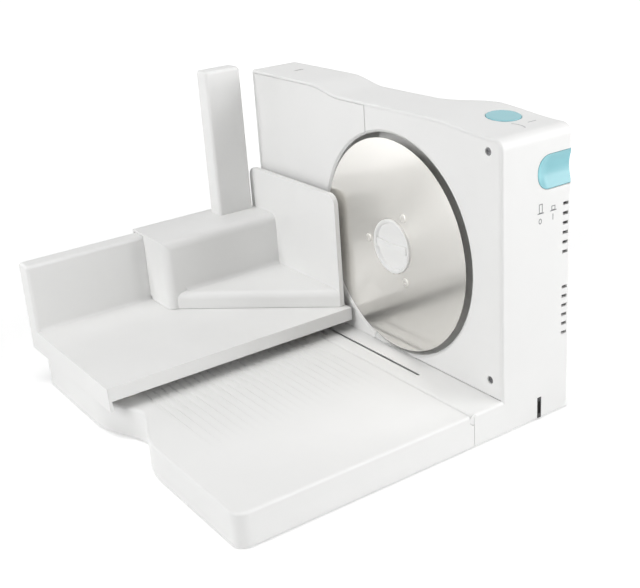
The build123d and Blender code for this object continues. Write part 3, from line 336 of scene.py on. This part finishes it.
# Blade lock knob: a raised rim, a shallow dish and a soft grip that widens towards the rim
knobShape = {"thickness": 0.0029, "rim": 0.0024, "slope": 0.0010, "dish": 0.0021, "lip": 0.0003, "wing": 0.0036,
             "waist": 0.0020, "gripDrop": 0.0002, "edge": 0.0007, "edgeSteps": 4, "gripEdge": 0.0006,
             "gripSteps": 5, "stem": 0.0025, "sides": 96, "slack": 0.0001, "smooth": 40}
knobLow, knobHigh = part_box("blade_lock_knob")
knobMiddle = (knobLow + knobHigh) / 2
knobRadius = (knobHigh.x - knobLow.x) / 2
knobBack = knobLow.y + knobShape["thickness"]
floorY = knobLow.y + knobShape["dish"]
gripY = knobLow.y + knobShape["gripDrop"]
reach = knobRadius - knobShape["rim"] - knobShape["slope"] - knobShape["lip"]
flare = knobShape["wing"] - knobShape["waist"]


def fromKnobAxis(spot):
    return math.hypot(spot.x - knobMiddle.x, spot.z - knobMiddle.z)


def onDishFloor(middle, normal):
    return near(middle.y, floorY) and fromKnobAxis(middle) < reach - knobShape["slack"]


def insideBowTie(middle, normal):
    width = knobShape["waist"] + flare * abs(middle.x - knobMiddle.x) / reach
    return onDishFloor(middle, normal) and abs(middle.z - knobMiddle.z) < width


bpy.ops.object.select_all(action="DESELECT")
bpy.ops.mesh.primitive_circle_add(vertices=knobShape["sides"], radius=knobRadius, fill_type="NGON",
                                  location=(knobMiddle.x, knobBack, knobMiddle.z), rotation=(math.pi / 2, 0, 0))
knob = bpy.context.object
knob.name = "lock_knob_dished"
settle()
bpy.ops.object.mode_set(mode="EDIT")
bpy.ops.mesh.select_all(action="SELECT")
pullOut(knobLow.y - knobBack)
pickFaces(lambda middle, normal: near(middle.y, knobLow.y))
bpy.ops.mesh.inset(thickness=knobShape["rim"])
bpy.ops.mesh.inset(thickness=knobShape["slope"])
bpy.ops.transform.translate(value=(0, knobShape["dish"], 0))
bpy.ops.mesh.inset(thickness=knobShape["lip"])
pickFaces(onDishFloor)
bpy.ops.mesh.bisect(plane_co=knobMiddle, plane_no=(1, 0, 0))
for side in (-1, 1):  # four slanting cuts mark out the bow tie
    for half in (-1, 1):
        pickFaces(lambda middle, normal: onDishFloor(middle, normal) and half * (middle.x - knobMiddle.x) > 0)
        lean = Vector((-half * side * flare, 0, reach)).normalized()
        bpy.ops.mesh.bisect(plane_co=knobMiddle + Vector((0, 0, side * knobShape["waist"])), plane_no=lean)
pickFaces(insideBowTie)
pullOut(gripY - floorY)
pickEdges(lambda spot: near(spot.y, gripY))
bpy.ops.mesh.bevel(offset=knobShape["gripEdge"], segments=knobShape["gripSteps"], affect="EDGES")
pickEdges(lambda spot: near(spot.y, knobLow.y) and fromKnobAxis(spot) > reach + knobShape["slope"])
bpy.ops.mesh.bevel(offset=knobShape["edge"], segments=knobShape["edgeSteps"], affect="EDGES")
pickFaces(lambda middle, normal: near(middle.y, knobBack))
bpy.ops.mesh.inset(thickness=knobRadius - knobShape["stem"])
pullOut(knobHigh.y - knobBack)
closeMesh(knobShape["smooth"])
knob.data.materials.append(whiteAbs)
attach(knob, "lock_knob")
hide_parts("blade_lock_knob")
print("knob modelled:", len(knob.data.polygons), "faces")

# Thickness dial on the back: skirt with a fluted rim and a grip bar
dialShape = {"skirt": 0.004, "grip": 0.008, "edge": 0.0010, "edgeSteps": 4, "sides": 120, "flutes": 30,
             "fluteInset": 0.0004, "fluteDepth": 0.0006, "smooth": 35}
dialLow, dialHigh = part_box("thickness_dial")
dialMiddle = (dialLow + dialHigh) / 2
dialRadius = (dialHigh.x - dialLow.x) / 2
skirtY = dialLow.y + dialShape["skirt"]
perFlute = dialShape["sides"] // dialShape["flutes"]


def inFlute(middle, normal):
    onRim = abs(normal.y) < 0.5  # the rim's faces look outwards, the two ends along Y
    angle = math.atan2(middle.z - dialMiddle.z, middle.x - dialMiddle.x) % (2 * math.pi)
    return onRim and int(angle / (2 * math.pi) * dialShape["sides"]) % perFlute < perFlute // 2


bpy.ops.object.select_all(action="DESELECT")
bpy.ops.mesh.primitive_cylinder_add(vertices=dialShape["sides"], radius=dialRadius, depth=dialShape["skirt"],
                                    location=(dialMiddle.x, dialLow.y + dialShape["skirt"] / 2, dialMiddle.z),
                                    rotation=(-math.pi / 2, 0, 0))
dial = bpy.context.object
dial.name = "thickness_dial_fluted"
settle()
bpy.ops.object.mode_set(mode="EDIT")
pickFaces(inFlute)
bpy.ops.mesh.inset(thickness=dialShape["fluteInset"], depth=-dialShape["fluteDepth"])
for side in (-1, 1):  # two cuts mark out the grip bar on the skirt's face
    pickFaces(lambda middle, normal: near(middle.y, skirtY))
    bpy.ops.mesh.bisect(plane_co=dialMiddle + Vector((0, 0, side * dialShape["grip"] / 2)), plane_no=(0, 0, 1))
pickFaces(lambda middle, normal: near(middle.y, skirtY) and near(middle.z, dialMiddle.z, dialShape["grip"] / 4))
pullOut(dialHigh.y - skirtY)
pickEdges(lambda spot: near(spot.y, dialHigh.y))
bpy.ops.mesh.bevel(offset=dialShape["edge"], segments=dialShape["edgeSteps"], affect="EDGES")
closeMesh(dialShape["smooth"])
dial.data.materials.append(whiteAbs)
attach(dial, "dial")
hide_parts("thickness_dial")


# A place round the dial's axis: seen from behind, degrees count anticlockwise from the right
def onBack(radius, degrees, depth):
    angle = math.radians(degrees)
    return Vector((dialMiddle.x - radius * math.cos(angle), depth, dialMiddle.z + radius * math.sin(angle)))


def backTurn(degrees):  # reads from behind, with its top away from the dial's axis
    upright = Euler((math.pi / 2, 0, math.pi)).to_matrix()
    return (Matrix.Rotation(math.radians(degrees - 90), 3, "Y") @ upright).to_euler()


def inkLayer(mark, thickness):
    applyModifier(mark, "SOLIDIFY", {"thickness": thickness, "offset": 1})


def inkBar(width, height, thickness, place, turn):
    bpy.ops.object.select_all(action="DESELECT")
    bpy.ops.mesh.primitive_plane_add(size=1)
    bar = bpy.context.object
    bar.scale = (width, height, 1)
    settle()
    inkLayer(bar, thickness)
    putAt(bar, place, turn)
    return bar


# Numbers and strokes printed on the dial: millimetres of slice thickness, 0 under the pointer at rest
numberShape = {"pointer": 60, "degreesPerMm": 20, "numbers": (0, 5, 10, 15), "strokes": range(16), "ring": 0.0172,
               "height": 0.0052, "strokeRing": 0.0206, "strokeLength": 0.0014, "strokeWidth": 0.0004,
               "ink": 0.00004}
marks = []
for millimetres in numberShape["numbers"]:
    degrees = numberShape["pointer"] - millimetres * numberShape["degreesPerMm"]
    bpy.ops.object.select_all(action="DESELECT")
    bpy.ops.object.text_add()
    number = bpy.context.object
    number.data.body = str(millimetres)
    number.data.size = numberShape["height"]
    number.data.align_x = "CENTER"
    number.data.align_y = "CENTER"
    number.data.extrude = numberShape["ink"] / 2
    bpy.ops.object.convert(target="MESH")
    number = bpy.context.object
    putAt(number, onBack(numberShape["ring"], degrees, skirtY + numberShape["ink"] / 2), backTurn(degrees))
    marks.append(number)
for millimetres in numberShape["strokes"]:
    degrees = numberShape["pointer"] - millimetres * numberShape["degreesPerMm"]
    marks.append(inkBar(numberShape["strokeWidth"], numberShape["strokeLength"], numberShape["ink"],
                        onBack(numberShape["strokeRing"], degrees, skirtY), backTurn(degrees)))
dialNumbers = joinPieces(marks, "dial_numbers")
dialNumbers.data.materials.append(greyInk)
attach(dialNumbers, "dial")

# Pointer printed on the housing beside the dial
pointerShape = {"size": 0.0021, "ring": 0.0248, "ink": 0.00004, "dialGap": 0.0003}
bpy.ops.object.select_all(action="DESELECT")
bpy.ops.mesh.primitive_circle_add(vertices=3, radius=pointerShape["size"], fill_type="NGON")
pointer = bpy.context.object
pointer.name = "dial_pointer"
inkLayer(pointer, pointerShape["ink"])
putAt(pointer, onBack(pointerShape["ring"], numberShape["pointer"], dialLow.y - pointerShape["dialGap"]),
      backTurn(numberShape["pointer"] + 180))
pointer.data.materials.append(greyInk)
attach(pointer, "housing")
print("dial modelled:", len(dial.data.polygons), "faces, with numbers and pointer")

# Springs under the two buttons: wound wire that keeps one length, fixed to the housing
springShape = {"wire": 0.0004, "turns": 5, "stepsPerTurn": 24, "wireSides": 10, "travel": 0.003, "smooth": 50}


def woundSpring(name, node, axis, turn):
    low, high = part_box(node)
    axis = Vector(axis)
    length = (high - low).dot(axis)
    foot = (low + high) / 2 - axis * length / 2
    wire = springShape["wire"]
    bpy.ops.object.select_all(action="DESELECT")
    bpy.ops.mesh.primitive_circle_add(vertices=springShape["wireSides"], radius=wire,
                                      location=((high.y - low.y) / 2 - wire, 0, 0), rotation=(math.pi / 2, 0, 0))
    spring = bpy.context.object
    spring.name = name
    settle()
    applyModifier(spring, "SCREW", {"axis": "Z", "screw_offset": (length - 2 * wire) / springShape["turns"],
                                    "iterations": springShape["turns"], "steps": springShape["stepsPerTurn"],
                                    "render_steps": springShape["stepsPerTurn"]})
    bpy.ops.object.mode_set(mode="EDIT")
    bpy.ops.mesh.select_all(action="SELECT")
    bpy.ops.mesh.fill_holes(sides=springShape["wireSides"])  # the cut ends of the wire
    closeMesh(springShape["smooth"])
    putAt(spring, foot + axis * wire, turn)
    spring.data.materials.append(groundSteel)
    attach(spring, "housing")
    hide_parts(node)
    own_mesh(spring)
    print("spring wound:", name, [round(side * 1000, 2) for side in spring.dimensions], "mm")


woundSpring("safety_spring_wound", node="safety_spring", axis=(0, 0, 1), turn=(0, 0, 0))
woundSpring("start_spring_wound", node="start_spring", axis=(1, 0, 0),
            turn=(0, math.pi / 2, 0))

# Small prints by the switch: push switch signs, released over 0 and pressed over I
signShape = {"line": 0.0007, "ink": 0.00003, "side": 0.16915,
             "released": {"middle": 0.11552, "wide": 0.00355, "low": 0.1611, "high": 0.1680},
             "pressed": {"middle": 0.1277, "wide": 0.0038, "low": 0.1608, "high": 0.1644},
             "baseLength": 0.0061,
             "zero": {"y": 0.11506, "z": 0.15546, "wide": 0.0030, "high": 0.0042, "sides": 32},
             "bar": {"y": 0.1274, "z": 0.1562, "high": 0.0044}}
sideTurn = (math.pi / 2, 0, math.pi / 2)
boxSides = 4


def onSide(y, z):
    return (signShape["side"], y, z)


def hollowOut(line):  # leaves a band of this width inside the outline of the flat piece that is active
    bpy.ops.object.mode_set(mode="EDIT")
    bpy.ops.mesh.select_all(action="SELECT")
    bpy.ops.mesh.inset(thickness=line)
    bpy.ops.mesh.delete(type="FACE")  # the inside, still selected


def sideRing(sides, width, height, place):  # a box has flat sides 1 apart before it is scaled, a ring is 1 across
    box = sides == boxSides
    bpy.ops.object.select_all(action="DESELECT")
    bpy.ops.mesh.primitive_circle_add(vertices=sides, radius=math.sqrt(0.5) if box else 0.5, fill_type="NGON",
                                      rotation=(0, 0, math.pi / 4 if box else 0))
    ring = bpy.context.object
    settle()
    ring.scale = (width, height, 1)
    settle()
    hollowOut(signShape["line"])
    bpy.ops.object.mode_set(mode="OBJECT")
    inkLayer(ring, signShape["ink"])
    putAt(ring, place, sideTurn)
    return ring


def sideBar(width, height, place):
    return inkBar(width, height, signShape["ink"], place, sideTurn)


marks = []
for sign in (signShape["released"], signShape["pressed"]):
    height = sign["high"] - sign["low"]
    marks.append(sideRing(boxSides, sign["wide"], height, onSide(sign["middle"], sign["low"] + height / 2)))
    marks.append(sideBar(signShape["baseLength"], signShape["line"], onSide(sign["middle"], sign["low"])))
zero, bar = signShape["zero"], signShape["bar"]
marks.append(sideRing(zero["sides"], zero["wide"], zero["high"], onSide(zero["y"], zero["z"])))
marks.append(sideBar(signShape["line"], bar["high"], onSide(bar["y"], bar["z"])))
sideSigns = joinPieces(marks, "switch_signs")
sideSigns.data.materials.append(greyInk)
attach(sideSigns, "housing")

# Faint marks beside the safety button: a bent stroke and a short dash, laid on the sloping top
topShape = {"line": 0.0010, "ink": 0.00003, "above": 0.230, "lift": 0.00001, "bendX": 0.1498, "bendY": 0.1030,
            "bendRadius": 0.0125, "bendSides": 128, "from": 124, "to": 56, "dashX": 0.1481, "dashY": 0.1276,
            "dashLength": 0.0080, "dashCuts": 3}
bendMiddle = (topShape["bendX"], topShape["bendY"], topShape["above"])
bpy.ops.object.select_all(action="DESELECT")
bpy.ops.mesh.primitive_circle_add(vertices=topShape["bendSides"], radius=topShape["bendRadius"], fill_type="NGON",
                                  location=bendMiddle)
bend = bpy.context.object
settle()
hollowOut(topShape["line"])
for degrees, side in ((topShape["from"], 1), (topShape["to"], -1)):
    angle = math.radians(degrees)
    bpy.ops.mesh.select_all(action="SELECT")
    bpy.ops.mesh.bisect(plane_co=bendMiddle, plane_no=(-side * math.sin(angle), side * math.cos(angle), 0),
                        clear_outer=True)
bpy.ops.object.mode_set(mode="OBJECT")
bpy.ops.object.select_all(action="DESELECT")
bpy.ops.mesh.primitive_plane_add(size=1, location=(topShape["dashX"], topShape["dashY"], topShape["above"]))
dash = bpy.context.object
dash.scale = (topShape["line"], topShape["dashLength"], 1)
settle()
bpy.ops.object.mode_set(mode="EDIT")
bpy.ops.mesh.select_all(action="SELECT")
bpy.ops.mesh.subdivide(number_cuts=topShape["dashCuts"])
bpy.ops.object.mode_set(mode="OBJECT")
topMarks = joinPieces([bend, dash], "button_marks")
applyModifier(topMarks, "SHRINKWRAP", {"target": nodes["motor_housing"], "wrap_method": "PROJECT",
                                       "use_project_z": True, "use_negative_direction": True,
                                       "use_positive_direction": False, "offset": topShape["lift"]})
inkLayer(topMarks, topShape["ink"])
topMarks.data.materials.append(paleInk)
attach(topMarks, "housing")
print("prints laid: switch signs and button marks")

# Stage: pale floor that keeps the shadow, white surroundings, soft lamps. Where it is seen, the floor gets a lift
# that grows with distance, so that it fades into white.
studio = {"floorSize": 12, "floorColour": "#F4F4F4", "nearLift": 0.38, "farLift": 1.0, "near": 0.35, "far": 1.7,
          "white": (1, 1, 1, 1), "skySeen": 1.0, "skyLight": 0.0}

bpy.ops.mesh.primitive_plane_add(size=studio["floorSize"], location=(0, 0, 0))
floor = bpy.context.object
floor.name = "floor"
floorPaper, tree = startMaterial("white paper sweep")
place = addNode(tree, "ShaderNodeTexCoord").outputs["Object"]
paper = addNode(tree, "ShaderNodeBsdfDiffuse", inputs={"Color": linear(studio["floorColour"])})
away = addNode(tree, "ShaderNodeVectorMath", {"operation": "LENGTH"}, {0: place})
rise = addNode(tree, "ShaderNodeMapRange", {"interpolation_type": "SMOOTHSTEP"}, {
    "Value": away.outputs["Value"], "From Min": studio["near"], "From Max": studio["far"],
    "To Min": studio["nearLift"], "To Max": studio["farLift"]})
lift = addNode(tree, "ShaderNodeEmission", inputs={"Color": studio["white"], "Strength": rise.outputs["Result"]})
lifted = addNode(tree, "ShaderNodeAddShader", inputs={0: paper.outputs[0], 1: lift.outputs[0]})
paperSweep = addNode(tree, "ShaderNodeMixShader", inputs={"Fac": seenRays(tree), 1: paper.outputs[0],
                                                          2: lifted.outputs[0]})
closeMaterial(tree, paperSweep)
floor.data.materials.append(floorPaper)

world = bpy.data.worlds.new("studio")
bpy.context.scene.world = world
world.use_nodes = True
tree = world.node_tree
tree.nodes.clear()
level = addNode(tree, "ShaderNodeMapRange", inputs={"Value": seenRays(tree), "To Min": studio["skyLight"],
                                                    "To Max": studio["skySeen"]})
sky = addNode(tree, "ShaderNodeBackground", inputs={"Color": studio["white"],
                                                    "Strength": level.outputs["Result"]})
addNode(tree, "ShaderNodeOutputWorld", inputs={"Surface": sky.outputs[0]})

lamps = {
    "front softbox": {"from": (0.1, -2.0, 1.0), "to": (0, 0, 0.1), "size": 1.2, "power": 24.5},
    "side softbox": {"from": (1.5, 1.2, 0.8), "to": (0, 0, 0.1), "size": 1.6, "power": 33},
    "top softbox": {"from": (-0.2, -0.25, 2.4), "to": (0, 0, 0), "size": 1.8, "power": 25},
    "left softbox": {"from": (-1.8, -0.6, 0.6), "to": (0, 0, 0.1), "size": 1.0, "power": 3.5},
    "left strip": {"from": (-0.77, -0.72, 0.14), "to": (0, 0, 0.11), "size": 0.3, "power": 0.4},
}
for name, lamp in lamps.items():
    light = bpy.data.lights.new(name, "AREA")
    light.size = lamp["size"]
    light.energy = lamp["power"]
    holder = bpy.data.objects.new(name, light)
    bpy.context.scene.collection.objects.link(holder)
    holder.location = lamp["from"]
    holder.visible_camera = False
    aim = Vector(lamp["to"]) - Vector(lamp["from"])
    holder.rotation_euler = aim.to_track_quat("-Z", "Y").to_euler()
print("stage lit by", len(lamps), "softboxes")

# Camera: the photo's angle, fitted to the object's straight edges
camera = {"target": (0.00405, 0.03705, 0.0747), "azimuth": 56.90, "elevation": 22.05, "roll": -4.15,
          "distance": 0.8698, "focalPixels": 1085.6, "imageWidth": 640, "sensor": 36}
azimuth, elevation, roll = (math.radians(camera[k]) for k in ("azimuth", "elevation", "roll"))
back = Vector((math.sin(azimuth) * math.cos(elevation), -math.cos(azimuth) * math.cos(elevation),
               math.sin(elevation)))
right = Vector((math.cos(azimuth), math.sin(azimuth), 0))
up = back.cross(right)
rightRolled = right * math.cos(roll) + up * math.sin(roll)
upRolled = up * math.cos(roll) - right * math.sin(roll)
lens = bpy.data.cameras.new("camera")
lens.sensor_width = camera["sensor"]
lens.lens = camera["focalPixels"] * camera["sensor"] / camera["imageWidth"]
viewer = bpy.data.objects.new("camera", lens)
bpy.context.scene.collection.objects.link(viewer)
eye = Vector(camera["target"]) + back * camera["distance"]
turn = Matrix((rightRolled, upRolled, back)).transposed()
viewer.matrix_world = Matrix.Translation(eye) @ turn.to_4x4()
bpy.context.scene.camera = viewer
bpy.context.scene.view_settings.view_transform = "Standard"
print("camera set")
